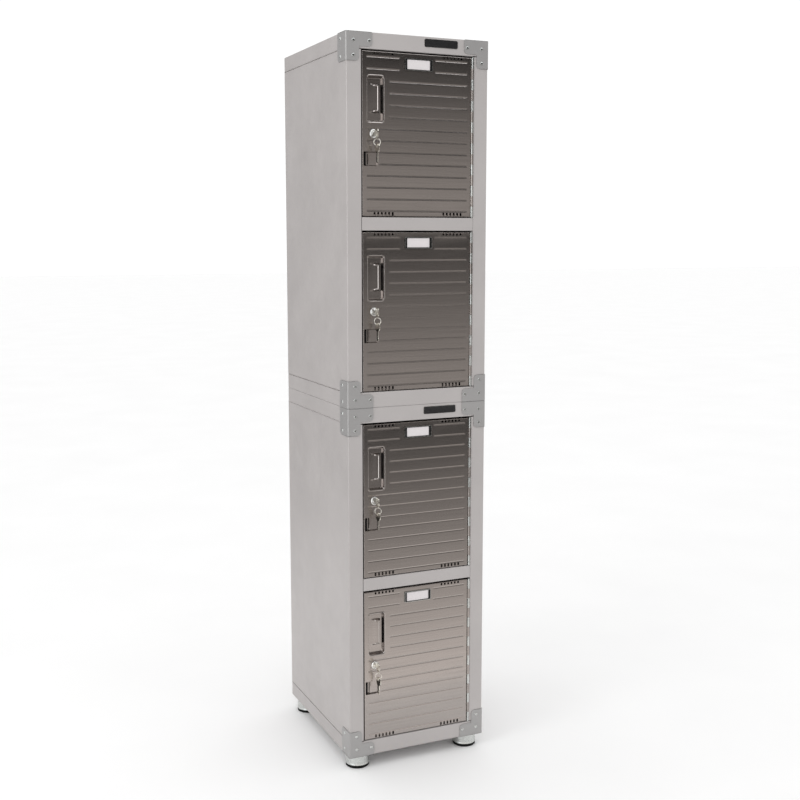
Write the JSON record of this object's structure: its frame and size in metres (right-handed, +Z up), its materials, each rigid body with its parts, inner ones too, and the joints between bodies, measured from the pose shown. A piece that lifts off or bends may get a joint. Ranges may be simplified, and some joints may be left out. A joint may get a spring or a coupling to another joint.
{
  "type": "locker cabinet",
  "caption": "Tall narrow steel locker tower: stacked units with ribbed inset doors, recessed pulls, cam locks with keys, corner brackets, a shelf in each unit and levelling feet.",
  "frame": {"origin": "on the floor, at the centre of the whole object's box, which includes the keys that stand out in front", "axes": "+X to the viewer's right when facing the doors, +Y towards the back, +Z up; the doors face -Y"},
  "size_m": [0.381, 0.4842, 1.8288],
  "materials": {
    "body_paint": "satin warm grey powder coat",
    "bracket_paint": "satin metallic grey",
    "door_paint": "satin graphite metallic",
    "black_steel": "black oxide steel",
    "bright_zinc": "bright zinc plate",
    "lock_chrome": "polished chrome plate",
    "key_nickel": "worn nickel plate",
    "foot_rubber": "black rubber",
    "label_card": "white card",
    "badge_plate": "black plate, blank"
  },
  "bodies": {
    "cabinet": {"upper_left_side": "body_paint", "upper_right_side": "body_paint", "upper_top_cap": "body_paint", "upper_bottom_pan": "body_paint", "upper_back_panel": "body_paint", "upper_shelf": "body_paint", "upper_bracket_top_left": "bracket_paint", "upper_bracket_top_right": "bracket_paint", "upper_bracket_bottom_left": "bracket_paint", "upper_bracket_bottom_right": "bracket_paint", "lower_left_side": "body_paint", "lower_right_side": "body_paint", "lower_top_cap": "body_paint", "lower_bottom_pan": "body_paint", "lower_back_panel": "body_paint", "lower_shelf": "body_paint", "lower_bracket_top_left": "bracket_paint", "lower_bracket_top_right": "bracket_paint", "lower_bracket_bottom_left": "bracket_paint", "lower_bracket_bottom_right": "bracket_paint", "door_1_hinge_leaf": "bright_zinc", "door_1_hinge_pin": "bright_zinc", "door_1_staple": "black_steel", "door_2_hinge_leaf": "bright_zinc", "door_2_hinge_pin": "bright_zinc", "door_2_staple": "black_steel", "door_3_hinge_leaf": "bright_zinc", "door_3_hinge_pin": "bright_zinc", "door_3_staple": "black_steel", "door_4_hinge_leaf": "bright_zinc", "door_4_hinge_pin": "bright_zinc", "door_4_staple": "black_steel"},
    "door_1": {"door_1": "door_paint", "door_1_lock_body": "lock_chrome"},
    "lock_1": {"door_1_lock_plug": "lock_chrome", "door_1_cam": "bright_zinc", "door_1_key": "key_nickel"},
    "door_2": {"door_2": "door_paint", "door_2_lock_body": "lock_chrome"},
    "lock_2": {"door_2_lock_plug": "lock_chrome", "door_2_cam": "bright_zinc", "door_2_key": "key_nickel"},
    "door_3": {"door_3": "door_paint", "door_3_lock_body": "lock_chrome"},
    "lock_3": {"door_3_lock_plug": "lock_chrome", "door_3_cam": "bright_zinc", "door_3_key": "key_nickel"},
    "door_4": {"door_4": "door_paint", "door_4_lock_body": "lock_chrome"},
    "lock_4": {"door_4_lock_plug": "lock_chrome", "door_4_cam": "bright_zinc", "door_4_key": "key_nickel"},
    "foot_front_left": {"foot_front_left": "bright_zinc", "foot_pad_front_left": "foot_rubber"},
    "foot_front_right": {"foot_front_right": "bright_zinc", "foot_pad_front_right": "foot_rubber"},
    "foot_rear_left": {"foot_rear_left": "bright_zinc", "foot_pad_rear_left": "foot_rubber"},
    "foot_rear_right": {"foot_rear_right": "bright_zinc", "foot_pad_rear_right": "foot_rubber"}
  },
  "joints": [
    {"name": "door_1_hinge", "type": "hinge", "parent": "cabinet", "child": "door_1", "pos_m": [0.1472, -0.2123, 1.5933], "axis": [0, 0, 1], "range_deg": [0, 110]},
    {"name": "lock_1_turn", "type": "hinge", "parent": "door_1", "child": "lock_1", "pos_m": [-0.1187, -0.2116, 1.5938], "axis": [0, 1, 0], "range_deg": [0, 90]},
    {"name": "door_2_hinge", "type": "hinge", "parent": "cabinet", "child": "door_2", "pos_m": [0.1472, -0.2123, 1.1673], "axis": [0, 0, 1], "range_deg": [0, 110]},
    {"name": "lock_2_turn", "type": "hinge", "parent": "door_2", "child": "lock_2", "pos_m": [-0.1187, -0.2116, 1.1678], "axis": [0, 1, 0], "range_deg": [0, 90]},
    {"name": "door_3_hinge", "type": "hinge", "parent": "cabinet", "child": "door_3", "pos_m": [0.1472, -0.2123, 0.6963], "axis": [0, 0, 1], "range_deg": [0, 110]},
    {"name": "lock_3_turn", "type": "hinge", "parent": "door_3", "child": "lock_3", "pos_m": [-0.1187, -0.2116, 0.6968], "axis": [0, 1, 0], "range_deg": [0, 90]},
    {"name": "door_4_hinge", "type": "hinge", "parent": "cabinet", "child": "door_4", "pos_m": [0.1472, -0.2123, 0.2703], "axis": [0, 0, 1], "range_deg": [0, 110]},
    {"name": "lock_4_turn", "type": "hinge", "parent": "door_4", "child": "lock_4", "pos_m": [-0.1187, -0.2116, 0.2708], "axis": [0, 1, 0], "range_deg": [0, 90]},
    {"name": "foot_front_left_level", "type": "slide", "parent": "cabinet", "child": "foot_front_left", "axis": [0, 0, -1], "range_m": [0, 0.012]},
    {"name": "foot_front_right_level", "type": "slide", "parent": "cabinet", "child": "foot_front_right", "axis": [0, 0, -1], "range_m": [0, 0.012]},
    {"name": "foot_rear_left_level", "type": "slide", "parent": "cabinet", "child": "foot_rear_left", "axis": [0, 0, -1], "range_m": [0, 0.012]},
    {"name": "foot_rear_right_level", "type": "slide", "parent": "cabinet", "child": "foot_rear_right", "axis": [0, 0, -1], "range_m": [0, 0.012]}
  ]
}
